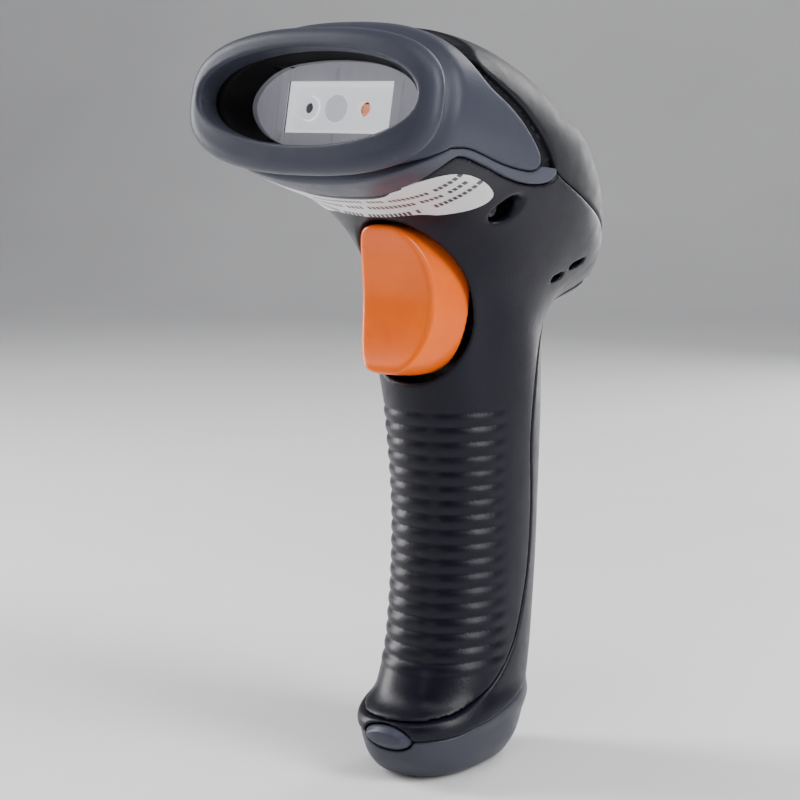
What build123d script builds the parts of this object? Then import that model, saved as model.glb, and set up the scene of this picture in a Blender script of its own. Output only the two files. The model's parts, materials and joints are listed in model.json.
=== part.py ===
from build123d import *
from build123d.topology import SkipClean
import os
from math import copysign, cos, pi, radians, sin

# Handheld barcode scanner, in millimetres.
# Origin at the middle of the foot's flat sole. +Z runs up the grip, the nose looks along -Y.

# ---------------------------------------------------------------- driving dimensions
SPAN = 45.0             # half-length of a cutting prism, wider than the body
GAP = 0.35              # clearance round a sliding piece

TILT = radians(12)      # the nose looks this far above the horizontal
NOSE_Y = -46.0          # middle of the nose plane
NOSE_Z = 150.0

# Grip sections, sole to neck: height, front, rear, half-width, roundness exponent
GRIP = [
    (0, -14.5, 13.0, 10.0, 2.5),
    (3, -18.2, 18.0, 12.6, 2.5),
    (8, -20.4, 22.0, 14.3, 2.4),
    (14, -19.5, 24.0, 14.6, 2.4),
    (24, -12.2, 26.0, 14.3, 2.3),
    (52, -8.8, 29.0, 14.4, 2.2),
    (92, -13.6, 29.7, 15.6, 2.2),
    (130, -18.0, 31.0, 19.0, 2.2),
]

# Head sections, nose to rear: depth behind the nose plane, centre height above its axis,
# half-height, half-width, roundness exponent
HEAD = [
    (-1, 0.0, 15.2, 30.4, 2.5),
    (12, 0.4, 17.4, 31.2, 2.4),
    (30, 0.5, 19.2, 30.9, 2.4),
    (50, -2.2, 19.8, 29.2, 2.3),
    (72, -7.2, 18.7, 25.2, 2.2),
    (90, -14.0, 14.9, 18.6, 2.1),
    (101.5, -18.3, 6.4, 7.4, 2.05),
]

# Inside faces, in the same terms: the head's inner layer and its hollow
MOUTH_LAYER = [(3.6, 0.2, 14.0, 28.8, 2.4), (11.5, -0.3, 14.6, 28.5, 2.4)]
HEAD_LAYER = [(11.5, -0.3, 14.6, 28.5, 2.4), (54, -3.0, 17.6, 27.0, 2.3)]
HEAD_HOLLOW = [(11.5, 0.2, 12.8, 27.4, 2.4), (54, -3.0, 16.2, 25.6, 2.3), (90, -13.5, 11.5, 14.5, 2.2)]
GRIP_HOLLOW = (14.0, 131.0, -6.6, 23.8, 12.2, 2.3)
FOOT_HOLLOW = (4.5, 14.0, -17.2, 17.0, 11.2, 2.4)

# Nose ring: a bead round the scan mouth
BEAD = [(-3.2, 14.2, 29.6), (-1.2, 16.0, 32.0), (1.2, 16.5, 32.6), (3.4, 15.8, 31.6)]
MOUTH_W = 28.0
MOUTH_H = 9.8
PANE_W = 21.3
PANE_H = 9.3
PANE_DEPTH = 8.2        # front face of the pane, behind the nose plane
PANE_T = 1.4
MASK_T = 0.3
FRAME_START = MOUTH_LAYER[0][0]
FRAME_END = MOUTH_LAYER[1][0]
VIEW_W = 13.5           # clear rectangle in the pane, half sizes
VIEW_H = 5.4

# Imager behind the pane, as depths and places across
TRAY_FRONT = PANE_DEPTH + PANE_T + MASK_T
GASKET_T = 0.4
TRAY_FLOOR = 11.3
ENGINE_FRONT = TRAY_FLOOR + 1.2
ENGINE_REAR = 27.0
ENGINE_W = 14.6
ENGINE_H = 6.6
CAMERA_X = -8.5
AIMER_X = -1.6
LED_X = 5.5
OPTICS = [(CAMERA_X, 2.6), (AIMER_X, 3.0), (LED_X, 1.6)]    # place across, radius of its bore
BRACKET_X = 18.5
BRACKET_HEIGHT = 3.0

# Trigger
TRIGGER_Z = 106.8
TRIGGER_W = 11.9
TRIGGER_H = 16.3
TRIGGER_GAP = 1.0
TRIGGER_DROP = 0.9      # more room below, where the toe of the trigger swings down
TRIGGER_ROUND = 2.6
TRIGGER_WALL = 1.8
POCKET_REAR = -3.0
SCOOP_R = 21.5          # finger scoop across the trigger's face
SCOOP_Y = -37.8
SCOOP_Z = 106.8
PIVOT_Y = -7.0
PIVOT_Z = 118.5
PIN_R = 1.5
PIN_CLEAR = 0.05
PIN_HALF = 12.6
PRESS_Z = 97.0          # height where the trigger presses the switch
SPRING_Z = 105.0
SPRING_FRONT = -13.0
LUG_X = (6.2, 8.6)

# Main board and switch
BOARD_Y = -3.6          # front face of the main board
BOARD_T = 1.2
BOARD_W = 7.6
BOARD_SCREWS = [(x, z) for x in (-5.6, 5.6) for z in (30, 84)]
BOARD_Z = (24.0, 111.0)
BOARD_BACK = BOARD_Y + BOARD_T
SWITCH_FRONT = -8.0
PLUNGER_R = 1.25
PLUNGER_FRONT = -10.6
PLUNGER_LENGTH = 3.6

# Button on the toe
BUTTON_Z = 10.5
BUTTON_W = 6.0
BUTTON_H = 2.75
BUTTON_PROUD = 0.9
COLLAR_Y = (-14.2, -13.2)

# Cord socket in the sole
SOCKET_W = 5.9
SOCKET_Y = (2.2, 8.8)
SOCKET_DEPTH = 13.0
SOCKET_WALL = 1.2
FLOOR = FOOT_HOLLOW[0]
FLANGE_T = 2.6
SOLE_SCREWS = [(-5, -7.4), (5, -7.4)]

SCREW_R = 1.1
SCREW_HEAD_R = 2.0
SCREW_SLOT = 0.6
NECK_SCREW = (-10, 127.1)
VENTS = [(25.4, 104), (20.6, 102)]   # rear air slots on each side


# ---------------------------------------------------------------- shapes shared by the parts
NOSE = Plane(
    origin=(0, NOSE_Y, NOSE_Z),
    x_dir=(1, 0, 0),
    z_dir=(0, cos(TILT), -sin(TILT)),
)


def head_point(depth, height):
    """A point (Y, Z) from its depth behind the nose plane and height above the head's axis."""
    return (
        NOSE_Y + depth * cos(TILT) + height * sin(TILT),
        NOSE_Z - depth * sin(TILT) + height * cos(TILT),
    )


def in_head(x, height, depth):
    """Place a shape drawn with its Z along the head's axis."""
    return NOSE * Pos(x, -height, depth)


def oval(half_x, half_y, roundness, count=10):
    """A superellipse face in XY."""
    points = []
    for i in range(count):
        angle = 2 * pi * i / count
        c, s = cos(angle), sin(angle)
        points.append((
            copysign(abs(c) ** (2 / roundness), c) * half_x,
            copysign(abs(s) ** (2 / roundness), s) * half_y,
        ))
    return make_face(Spline(points, periodic=True))


def grip_body(grow=0.0):
    """The grip's solid form, from the sole into the head."""
    faces = []
    for z, front, rear, half_w, roundness in GRIP:
        middle, half_d = (front + rear) / 2, (rear - front) / 2
        faces.append(Pos(0, middle, z) * oval(half_w + grow, half_d + grow, roundness))
    return loft(faces, ruled=True)


def grip_hollow(bottom, top, front, rear, half_w, roundness):
    face = oval(half_w, (rear - front) / 2, roundness)
    return Pos(0, (front + rear) / 2, bottom) * extrude(face, top - bottom)


def head_body(sections, grow=0.0, ruled=False):
    """A solid along the head's axis."""
    faces = []
    for depth, centre, half_h, half_w, roundness in sections:
        faces.append(in_head(0, centre, depth) * oval(half_w + grow, half_h + grow, roundness))
    return loft(faces, ruled=ruled)


def side_prism(curve, closing):
    """A prism across the whole body: a smooth side-view curve closed by straight lines."""
    outline = Spline(curve) + Polyline(curve[-1], *closing, curve[0])
    return extrude(make_face(Plane.YZ * outline), SPAN, both=True)


def block(x0, x1, y0, y1, z0, z1):
    """A box from its corners."""
    size = (x1 - x0, y1 - y0, z1 - z0)
    return Pos((x0 + x1) / 2, (y0 + y1) / 2, (z0 + z1) / 2) * Box(*size)


def head_block(half_x, height0, height1, depth0, depth1):
    """A box in the head, symmetric about the middle plane."""
    size = (2 * half_x, height1 - height0, depth1 - depth0)
    return in_head(0, (height0 + height1) / 2, (depth0 + depth1) / 2) * Box(*size)


def rod(start, direction, radius, length):
    """A cylinder from a point along a direction."""
    return extrude(Plane(origin=start, z_dir=direction) * Circle(radius), length)


def screw(start, direction, length, head=1.4):
    """A pan-head screw: start is the top of the head, direction runs into the hole."""
    d = Vector(*direction).normalized()
    top = Vector(*start)
    body = rod(top, d, SCREW_HEAD_R, head) + rod(top + d * head, d, SCREW_R, length)
    slot = Plane(origin=top, z_dir=d) * Box(SCREW_SLOT, 2.4, 1.0)
    cross = Plane(origin=top, z_dir=d) * Box(2.4, SCREW_SLOT, 1.0)
    return body - slot - cross


def coil(start, end, radius, wire, turns):
    """A helical compression spring along Y."""
    pitch = (end[1] - start[1] - 2 * wire) / turns
    path = Helix(pitch=pitch, height=pitch * turns, radius=radius)
    section = Plane(origin=path @ 0, z_dir=path % 0) * Circle(wire / 2)
    spring = sweep(section, path=path)
    return Pos(start[0], start[1] + wire, start[2]) * Rot(-90, 0, 0) * spring


# ---------------------------------------------------------------- seams, seen from the side
def petal_top():
    return [head_point(12.5, 20), head_point(13.6, 12.6), head_point(18.9, 6.7),
            head_point(32.5, 1.8), head_point(40.6, -2.8), head_point(42.6, -5.6)]


def petal_bottom():
    return [head_point(42.6, -5.6), head_point(38.6, -7.3), head_point(29.5, -7.7),
            head_point(16.5, -7.0), head_point(10.0, -8.4)]


def lip_front():
    return [head_point(10.0, -8.4), head_point(6.2, -12.4), head_point(6.4, -16.2),
            head_point(10.0, -22)]


def trim_bottom():
    return [head_point(49.8, -5.4), head_point(47.6, -8.0), head_point(39.3, -9.7),
            head_point(25.5, -9.0), head_point(14.6, -8.8), head_point(12.4, -12.0),
            head_point(14.6, -16.6), head_point(19.0, -21)]


def channel_top():
    return [head_point(21.5, 20), head_point(18.2, 11.4), head_point(24.6, 7.1),
            head_point(36.0, 3.0), head_point(44.3, -1.4), head_point(49.8, -5.4)]


def side_region(curves, closings):
    """A prism across the body from smooth edges and straight closings, seen from the side."""
    outline = [Spline(curve) for curve in curves] + [Polyline(*line) for line in closings]
    return extrude(make_face(Plane.YZ * Curve(outline)), SPAN, both=True)


def bumper_region():
    corner = [head_point(10.0, -22), head_point(-8, -22), head_point(-8, 22),
              head_point(12.5, 22), head_point(12.5, 20)]
    return side_region([petal_top(), petal_bottom(), lip_front()], [corner])


def trim_region():
    tip = [head_point(42.6, -5.6), head_point(49.8, -5.4)]
    chin = [head_point(19.0, -21), head_point(10.0, -22)]
    return side_region([trim_bottom(), petal_bottom(), lip_front()], [tip, chin])


def skin_region():
    """All that the shells leave to the bumper, the trim band and the channel above them."""
    chin = [head_point(19.0, -21), head_point(19.0, -30), head_point(-9, -30),
            head_point(-9, 30), head_point(21.5, 30), head_point(21.5, 20)]
    return side_region([channel_top(), trim_bottom()], [chin])


def cover_region():
    """Everything above the parting line of the head."""
    line = [head_point(-8, -8.0), head_point(25, -7.4), head_point(49.8, -5.4),
            head_point(60.4, -7.7), head_point(79, -10.8), head_point(112, -16.5)]
    return side_prism(line, [head_point(112, 40), head_point(-8, 40)])


def cap_region():
    line = [(-30, 10.3), (-11, 10.9), (0, 12.7), (11.6, 15.4), (34, 19)]
    return side_prism(line, [(34, -10), (-30, -10)])


def strap_region():
    """Behind the seam between the front shell and the rear shell of the grip."""
    seam = [(-30, 14.2), (-18, 14.6), (-3.6, 17.8), (6.3, 24.3), (13.2, 36.8), (16.4, 56),
            (15.6, 78), (20, 95), (36, 105)]
    return side_prism(seam, [(60, 105), (60, -12), (-30, -12)])


def label_region():
    edge = [head_point(19.0, -21), head_point(17.5, -17.6), head_point(13.0, -15.2),
            head_point(16.5, -12.2), head_point(24, -11.2), head_point(33.2, -13.4),
            head_point(32.4, -17.0), head_point(26.5, -21)]
    return side_prism(edge, [])


# ---------------------------------------------------------------- housing
def make_bumper(head, layers):
    bead = loft([in_head(0, 0, s) * oval(w, h, 2.4) for s, h, w in BEAD])
    mouth = loft([
        in_head(0, 0, -4) * oval(MOUTH_W + 0.8, MOUTH_H + 0.8, 2.5),
        in_head(0, 0, FRAME_START + 0.5) * oval(MOUTH_W - 1.2, MOUTH_H, 2.4),
    ])
    return (head & bumper_region()) + bead - layers - mouth


def make_trim(head, layers):
    return (head & trim_region()) - layers


def engine_posts():
    """Two posts that carry the imager's bracket under the roof of the head."""
    posts = Part()
    for x in (-BRACKET_X, BRACKET_X):
        posts += in_head(x, 7.0, 24) * Box(5, 12, 6)
        posts -= in_head(x, BRACKET_HEIGHT, 22) * Cylinder(SCREW_R, 6.2)
    return posts


def make_cover(head, skin_cut, hollow):
    return (head & cover_region()) - skin_cut - hollow + engine_posts()


def make_front(head, grip, skin_cut, hollow):
    """Chin, neck and the front of the grip."""
    cover = cover_region()
    chin = head - cover - skin_cut - hollow
    neck = grip - strap_region() - cap_region() - cover - hollow
    front = chin + neck
    for side in (-1, 1):
        front += rod((side * 17.5, *NECK_SCREW), (-side, 0, 0), SCREW_HEAD_R + 1.4, 6.5)
        front -= rod((side * 34, *NECK_SCREW), (-side, 0, 0), SCREW_HEAD_R + 0.5, 15.4)
        front -= rod((side * 20, *NECK_SCREW), (-side, 0, 0), SCREW_R, 8.4)
        for y, z in VENTS:
            front -= Pos(side * 20, y, z) * Rot(0, 0, 90) * extrude(SlotOverall(7, 1.2), 13)
    for x, z in BOARD_SCREWS:
        front += rod((x, BOARD_Y, z), (0, -1, 0), 2.0, 4)
        front -= rod((x, BOARD_Y, z), (0, -1, 0), SCREW_R, 3.4)
    for drop in (0, TRIGGER_DROP):
        front -= Pos(0, 0, -drop) * trigger_bar(TRIGGER_GAP, -30, POCKET_REAR)
    return front - rod((-PIN_HALF, PIVOT_Y, PIVOT_Z), (1, 0, 0), PIN_R, 2 * PIN_HALF)


def make_strap(grip, hollow):
    return (grip & strap_region()) - cap_region() - hollow - button_bar(GAP)


def make_cap(grip, hollow):
    cap = (grip & cap_region()) - hollow - button_bar(GAP) - socket_cavity()
    for x, y in SOLE_SCREWS:
        cap -= rod((x, y, -1), (0, 0, 1), SCREW_HEAD_R + 0.2, 3.4)
        cap -= rod((x, y, 0), (0, 0, 1), SCREW_R, 10)
    return cap


def make_label(head):
    """A film round the chin, wider at its two ends."""
    return (head_body(HEAD, grow=0.25) & label_region()) - head


# ---------------------------------------------------------------- scan mouth and imager
def make_mouth_frame():
    body = head_body(MOUTH_LAYER, ruled=True)
    front = in_head(0, 0, FRAME_START) * oval(MOUTH_W - 1.0, MOUTH_H, 2.4)
    rear = in_head(0, 0, PANE_DEPTH) * oval(PANE_W, PANE_H, 2.2)
    funnel = loft([front, rear])
    pocket = in_head(0, 0, PANE_DEPTH) * extrude(oval(PANE_W, PANE_H, 2.2), PANE_T + MASK_T)
    throat = head_block(VIEW_W + 2.4, -8.0, 8.0, PANE_DEPTH + 1, FRAME_END + 1)
    return body - funnel - pocket - throat


def make_window():
    return in_head(0, 0, PANE_DEPTH) * extrude(oval(PANE_W, PANE_H, 2.2), PANE_T)


def make_mask():
    plate = in_head(0, 0, PANE_DEPTH + PANE_T) * extrude(oval(PANE_W, PANE_H, 2.2), MASK_T)
    return plate - head_block(VIEW_W, -VIEW_H, VIEW_H, 0, 20)


def make_gasket():
    outer = head_block(VIEW_W + 2.4, -7.8, 7.8, TRAY_FRONT, TRAY_FRONT + GASKET_T)
    return outer - head_block(VIEW_W, -VIEW_H, VIEW_H, 0, 20)


def make_tray():
    """White tray with sloping sides, open to the window."""
    start = TRAY_FRONT + GASKET_T
    body = head_block(VIEW_W + 1.6, -7.0, 7.0, start, ENGINE_FRONT)
    mouth = in_head(0, 0, start) * Rectangle(2 * VIEW_W, 2 * VIEW_H)
    floor = in_head(0, 0, TRAY_FLOOR) * Rectangle(2 * VIEW_W - 2, 2 * VIEW_H - 1.6)
    body -= loft([mouth, floor])
    for x, radius in OPTICS:
        body -= in_head(x, 0, TRAY_FLOOR) * Cylinder(radius, 8)
    return body


def make_engine():
    body = head_block(ENGINE_W, -ENGINE_H, ENGINE_H, ENGINE_FRONT, ENGINE_REAR)
    for x, radius in OPTICS:
        body -= in_head(x, 0, TRAY_FLOOR + 2.7) * Cylinder(radius, 3.2)
    return body


def make_lens_barrel():
    barrel = in_head(CAMERA_X, 0, TRAY_FLOOR + 1.9) * Cylinder(2.5, 4.8)
    bore = in_head(CAMERA_X, 0, TRAY_FLOOR - 0.2) * Cylinder(1.2, 2.4)
    return barrel - bore


def make_camera_lens():
    return in_head(CAMERA_X, 0, TRAY_FLOOR + 0.55) * Cylinder(1.15, 0.8)


def make_aimer():
    disc = in_head(AIMER_X, 0, TRAY_FLOOR + 1.9) * Cylinder(2.9, 4.0)
    dome = in_head(AIMER_X, 0, TRAY_FLOOR + 3.4) * Sphere(4.4)
    cut = head_block(SPAN, -20, 20, TRAY_FLOOR, 40)
    return disc + ((dome - cut) & in_head(AIMER_X, 0, 10) * Cylinder(2.9, 30))


def make_led():
    base = in_head(LED_X, 0, TRAY_FLOOR + 2.4) * Box(2.2, 2.2, 2.6)
    return base + in_head(LED_X, 0, TRAY_FLOOR + 0.9) * Cylinder(0.9, 0.6)


def make_engine_board():
    return head_block(13.6, -6.2, 6.2, ENGINE_REAR, ENGINE_REAR + 1.0)


def make_bracket():
    """A frame round the imager with an ear on each side."""
    frame = head_block(16.0, -8.4, 8.4, 18.0, 21.0) - head_block(ENGINE_W, -ENGINE_H, ENGINE_H, 10, 30)
    for x in (-BRACKET_X, BRACKET_X):
        ear = in_head(x, BRACKET_HEIGHT, 20.25) * Box(5.4, 6, 1.5)
        frame += ear - in_head(x, BRACKET_HEIGHT, 20) * Cylinder(SCREW_R, 6)
    return frame


def make_engine_screws():
    screws = []
    for x in (-BRACKET_X, BRACKET_X):
        top = in_head(x, BRACKET_HEIGHT, 18.1).position
        screws.append(screw(top, NOSE.z_dir, 4.6))
    return Compound(children=screws)


def make_flex():
    """Ribbon from the imager down to the back of the main board."""
    route = [head_point(ENGINE_REAR + 1.2, 0), (-10, 140), (2, 127), (0.6, 115),
             (BOARD_BACK + 0.2, 106)]
    line = Plane.YZ * Spline(route)
    section = Plane(origin=line @ 0, z_dir=line % 0, x_dir=(1, 0, 0)) * Rectangle(9, 0.3)
    return sweep(section, path=line)


# ---------------------------------------------------------------- electronics in the grip
def make_board():
    board = block(-BOARD_W, BOARD_W, BOARD_Y, BOARD_Y + BOARD_T, *BOARD_Z)
    for x, z in BOARD_SCREWS:
        board -= rod((x, BOARD_Y - 2, z), (0, 1, 0), SCREW_R, 6)
    return board


def make_processor():
    body = block(-5.5, 5.5, BOARD_BACK, BOARD_BACK + 1.2, 60, 71)
    return body - rod((-4.2, BOARD_BACK + 1.0, 69.7), (0, 1, 0), 0.5, 1)


def make_chips():
    """Radio module can, memory and a row of regulators, on the back of the main board."""
    places = [(-2.8, 42, 8, 10, 2.0), (4.6, 46, 4.5, 6, 1.1), (4.6, 37, 4, 5, 1.1)]
    places += [(-3.6 + 3.6 * i, 78, 2.4, 2.4, 0.9) for i in range(3)]
    chips = []
    for x, z, width, height, thick in places:
        chips.append(block(x - width / 2, x + width / 2, BOARD_BACK, BOARD_BACK + thick,
                           z - height / 2, z + height / 2))
    return Compound(children=chips)


def make_buzzer():
    body = rod((0, BOARD_BACK, 93), (0, 1, 0), 6.0, 5.0)
    return body - rod((0, BOARD_BACK + 4.2, 93), (0, 1, 0), 1.0, 2)


def make_board_screws():
    screws = []
    for x, z in BOARD_SCREWS:
        screws.append(screw((x, BOARD_BACK + 1.4, z), (0, -1, 0), 4.4))
    return Compound(children=screws)


def make_switch():
    body = block(-3.6, 3.6, SWITCH_FRONT, BOARD_Y, PRESS_Z - 3.2, PRESS_Z + 3.2)
    return body - rod((0, SWITCH_FRONT - 1, PRESS_Z), (0, 1, 0), PLUNGER_R + PIN_CLEAR, 4.2)


def make_plunger():
    return rod((0, PLUNGER_FRONT, PRESS_Z), (0, 1, 0), PLUNGER_R, PLUNGER_LENGTH)


def socket_cavity():
    return block(-SOCKET_W, SOCKET_W, *SOCKET_Y, -1, SOCKET_DEPTH)


def make_socket():
    """Modular jack with a screwed flange and a slot for the plug's latch in its front wall."""
    y0, y1 = SOCKET_Y
    body = block(-SOCKET_W - SOCKET_WALL, SOCKET_W + SOCKET_WALL, y0 - SOCKET_WALL, y1 + SOCKET_WALL,
                 FLOOR, FLOOR + SOCKET_DEPTH)
    body += block(-7.4, 7.4, -10.4, y0 - SOCKET_WALL, FLOOR, FLOOR + FLANGE_T)
    for x, y in SOLE_SCREWS:
        body -= rod((x, y, 0), (0, 0, 1), SCREW_R, 10)
    return body - socket_cavity() - block(-2, 2, y0 - SOCKET_WALL - 1, y0 + 1, 7.6, SOCKET_DEPTH)


def make_contacts():
    """A row of sprung wires on the rear wall of the socket."""
    pins = []
    for i in range(10):
        x = -4.6 + 1.02 * i
        pins.append(block(x - 0.2, x + 0.2, SOCKET_Y[1] - 0.6, SOCKET_Y[1], 5.0, SOCKET_DEPTH))
    return Compound(children=pins)


# ---------------------------------------------------------------- screws in the housing
def make_neck_screws():
    screws = []
    for side in (-1, 1):
        screws.append(screw((side * 20.0, *NECK_SCREW), (-side, 0, 0), 7))
    return Compound(children=screws)


def make_sole_screws():
    screws = []
    for x, y in SOLE_SCREWS:
        screws.append(screw((x, y, 1.0), (0, 0, 1), 4.5))
    return Compound(children=screws)


# ---------------------------------------------------------------- trigger
def trigger_bar(grow, y0, y1):
    """The trigger's outline, seen from the front, as a bar from y0 to y1."""
    face = oval(TRIGGER_W + grow, TRIGGER_H + grow, TRIGGER_ROUND)
    return Pos(0, y0, TRIGGER_Z) * Rot(-90, 0, 0) * extrude(face, y1 - y0)


def make_trigger():
    """Crowned rocker, open at the back, with lugs for the pin and a post for the switch."""
    stations = [(-5.0, 0, 0), (-17.0, 0.2, 0.1), (-20.6, 1.5, 0.8), (-22.9, 5.4, 2.2)]

    def crown(inset):
        faces = []
        for y, shrink, lift in stations:
            face = oval(TRIGGER_W - shrink - inset, TRIGGER_H - shrink - inset, TRIGGER_ROUND)
            faces.append(Pos(0, y + inset, TRIGGER_Z + lift) * Rot(-90, 0, 0) * face)
        return loft(faces)

    skirt = side_prism([(-4, 126), (-5.6, 112), (-9, 88)], [(20, 88), (20, 126)])
    def scooped(inset):
        finger = rod((-SPAN, SCOOP_Y, SCOOP_Z), (1, 0, 0), SCOOP_R + inset, 2 * SPAN)
        return crown(inset) - finger

    body = scooped(0) - scooped(TRIGGER_WALL) - skirt
    for side in (-1, 1):
        x0, x1 = sorted((side * LUG_X[0], side * LUG_X[1]))
        body += block(x0, x1, PIVOT_Y - 9, PIVOT_Y + 2.9, PIVOT_Z - 2.9, PIVOT_Z + 2.4)
    body += block(-2.2, 2.2, -17.0, PLUNGER_FRONT - 0.3, PRESS_Z - 2.2, PRESS_Z + 2.2)
    body += block(-2.8, 2.8, -15.6, SPRING_FRONT, SPRING_Z - 2.8, SPRING_Z + 2.8)
    return body - rod((-PIN_HALF - 1, PIVOT_Y, PIVOT_Z), (1, 0, 0), PIN_R + PIN_CLEAR, 2 * PIN_HALF + 2)


def make_pin():
    return rod((-PIN_HALF, PIVOT_Y, PIVOT_Z), (1, 0, 0), PIN_R, 2 * PIN_HALF)


def make_trigger_spring():
    return coil((0, SPRING_FRONT, SPRING_Z), (0, BOARD_Y, SPRING_Z), 2.1, 0.5, 6)


# ---------------------------------------------------------------- button on the toe
def button_bar(grow):
    face = oval(BUTTON_W + grow, BUTTON_H + grow, 2.2)
    return Pos(0, -30, BUTTON_Z) * Rot(-90, 0, 0) * extrude(face, 30 + COLLAR_Y[0] + 0.3)


def make_button(proud):
    """Oval cap that follows the toe, with a stem that reaches the plug's latch."""
    stem = block(-1.7, 1.7, COLLAR_Y[0], -0.6, BUTTON_Z - 1.2, BUTTON_Z + 1.2)
    collar = block(-7.0, 7.0, *COLLAR_Y, BUTTON_Z - 3.3, BUTTON_Z + 3.3)
    return (button_bar(0) & proud) + collar + stem


def make_button_spring():
    return coil((0, COLLAR_Y[1], BUTTON_Z), (0, SOCKET_Y[0] - SOCKET_WALL, BUTTON_Z), 2.6, 0.5, 7)


# ---------------------------------------------------------------- assembly
def build_all():
    grip = grip_body()
    head = head_body(HEAD)
    layer = head_body(HEAD_LAYER, ruled=True)
    layers = layer + head_body(MOUTH_LAYER, ruled=True)
    hollow = grip_hollow(*GRIP_HOLLOW) + grip_hollow(*FOOT_HOLLOW) + head_body(HEAD_HOLLOW, ruled=True)
    skin_cut = skin_region() - layer
    return {
        "nose_bumper": make_bumper(head, layers),
        "trim_band": make_trim(head, layers),
        "top_cover": make_cover(head, skin_cut, hollow),
        "front_shell": make_front(head, grip, skin_cut, hollow),
        "backstrap": make_strap(grip, hollow),
        "foot_cap": make_cap(grip, hollow),
        "label": make_label(head),
        "mouth_frame": make_mouth_frame(),
        "scan_window": make_window(),
        "window_mask": make_mask(),
        "window_gasket": make_gasket(),
        "light_tray": make_tray(),
        "engine_housing": make_engine(),
        "lens_barrel": make_lens_barrel(),
        "camera_lens": make_camera_lens(),
        "aimer_lens": make_aimer(),
        "illumination_led": make_led(),
        "engine_board": make_engine_board(),
        "engine_bracket": make_bracket(),
        "engine_screws": make_engine_screws(),
        "engine_flex": make_flex(),
        "main_board": make_board(),
        "processor": make_processor(),
        "board_chips": make_chips(),
        "buzzer": make_buzzer(),
        "board_screws": make_board_screws(),
        "trigger_switch": make_switch(),
        "switch_plunger": make_plunger(),
        "cord_socket": make_socket(),
        "socket_contacts": make_contacts(),
        "neck_screws": make_neck_screws(),
        "sole_screws": make_sole_screws(),
        "trigger": make_trigger(),
        "trigger_pin": make_pin(),
        "trigger_spring": make_trigger_spring(),
        "release_button": make_button(grip_body(BUTTON_PROUD)),
        "button_spring": make_button_spring(),
    }


os.makedirs("parts", exist_ok=True)
with SkipClean():
    nodes = build_all()
for name, shape in nodes.items():
    export_step(shape, f"parts/{name}.step")
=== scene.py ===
import json
import math

import bpy
import numpy as np
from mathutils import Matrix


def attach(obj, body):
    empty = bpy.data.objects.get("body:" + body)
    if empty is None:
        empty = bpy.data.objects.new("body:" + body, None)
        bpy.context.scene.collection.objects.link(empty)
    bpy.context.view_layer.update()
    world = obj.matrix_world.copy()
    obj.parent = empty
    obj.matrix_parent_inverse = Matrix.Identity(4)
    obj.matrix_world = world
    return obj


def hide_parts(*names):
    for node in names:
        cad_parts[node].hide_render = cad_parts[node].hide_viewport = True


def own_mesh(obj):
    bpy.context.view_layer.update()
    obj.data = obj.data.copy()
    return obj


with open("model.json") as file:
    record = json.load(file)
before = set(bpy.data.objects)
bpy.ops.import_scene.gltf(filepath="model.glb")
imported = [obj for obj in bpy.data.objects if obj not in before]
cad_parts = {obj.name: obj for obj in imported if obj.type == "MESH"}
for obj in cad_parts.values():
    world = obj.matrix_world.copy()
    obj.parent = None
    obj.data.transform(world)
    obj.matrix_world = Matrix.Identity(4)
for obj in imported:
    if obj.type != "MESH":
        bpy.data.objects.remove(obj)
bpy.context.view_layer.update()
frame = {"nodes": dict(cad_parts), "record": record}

import openvdb
from mathutils import Vector

# ---------------------------------------------------------------- driving dimensions, in mm
MM = 0.001
WALL = 1.9                              # moulded walls
SEAM = 0.08                             # half the gap between two neighbouring shells
TILT = math.radians(12)                 # the nose looks this far above the horizontal
NOSE_Y, NOSE_Z = -46.0, 150.0           # middle of the nose plane

# Nose: half-widths and half-heights, and depths behind the nose plane
RIM_W, RIM_H = 27.2, 9.9                # opening in the ring
RING_W, RING_H, RING_DROP = 31.7, 14.9, 0.5     # outer edge of the ring
RING_MIDDLE, RING_HALF = 0.9, 2.6
RING_LEAN, RING_BAND = 0.16, 3.0        # its face falls away outwards from this far inside the edge
WAIST_S, WAIST_WIDTH, WAIST_DEPTH = 5.2, 2.1, 1.5       # soft valley behind the ring
MOUTH_END = 6.5
FUNNEL_W, FUNNEL_H, FUNNEL_END = 27.6, 10.3, 8.4
FRAME_FRONT, FRAME_BACK, FRAME_GAP = 3.2, 11.3, 1.7
PANE_W, PANE_H, PANE_S, PANE_HALF = 21.5, 9.5, 9.1, 0.95
TRAY_W, TRAY_H = 15.7, 7.9

# Shells
CHANNEL_DEPTH, CHANNEL_WALL = 1.5, 1.2  # the cover's sunk flange beside the petals
COVER_FRONT, FRONT_SHELL_FRONT = 9.0, 11.8      # depths where they stop behind the nose
RIB_PITCH, RIB_FIRST, RIB_LAST = 3.3, 24.3, 81.0
RIB_HEIGHT, RIB_SHARP, RIB_SUNK = 0.54, 0.85, 0.62      # sunk is the part of a wave below the skin
NECK_SCREW_Y, NECK_SCREW_Z, NECK_WELL_R, NECK_WELL_X = -9.4, 126.9, 2.7, 18.6
VENTS = [((23.6, 112.4), (27.4, 113.4)), ((18.0, 109.8), (20.9, 110.5))]
VENT_R, VENT_X = 0.78, 12.0
FRONT_EXTRA_WALL = 0.6
TRIM_PROUD, STRAP_PROUD, CAP_SUNK = 0.1, 0.12, 0.02     # against the body's skin
LABEL_PROUD, LABEL_SUNK = 0.22, 0.7

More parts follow.
